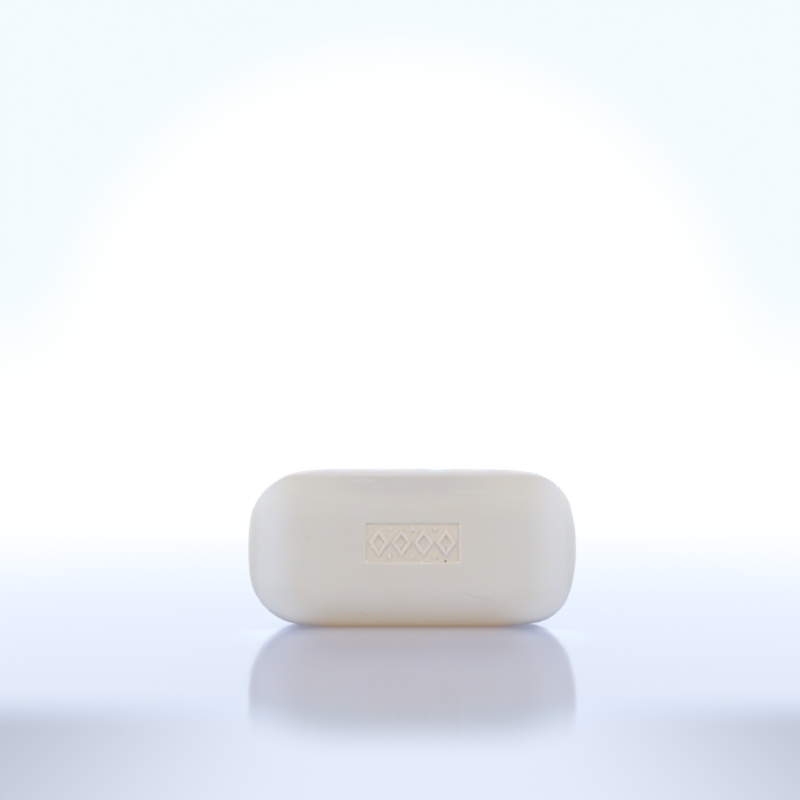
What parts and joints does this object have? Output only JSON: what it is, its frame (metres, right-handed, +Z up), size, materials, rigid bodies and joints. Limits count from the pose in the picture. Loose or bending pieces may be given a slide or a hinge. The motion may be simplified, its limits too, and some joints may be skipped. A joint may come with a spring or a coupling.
{
  "type": "bar of soap",
  "caption": "Pressed bar of ivory toilet soap with rounded ends, softly rounded shoulders, a flat band round its edge and a shallow sunken panel with a raised lozenge border.",
  "frame": {"origin": "middle of the long narrow side that the bar stands on", "axes": "+X along the bar's length, +Y from the stamped front face to the plain back face, +Z up across the bar's width"},
  "size_m": [0.09, 0.028, 0.0427],
  "materials": {
    "soap": "pale ivory pressed soap, slightly translucent, with a soft waxy sheen"
  },
  "bodies": {
    "root": {"soap_bar": "soap"}
  },
  "joints": []
}
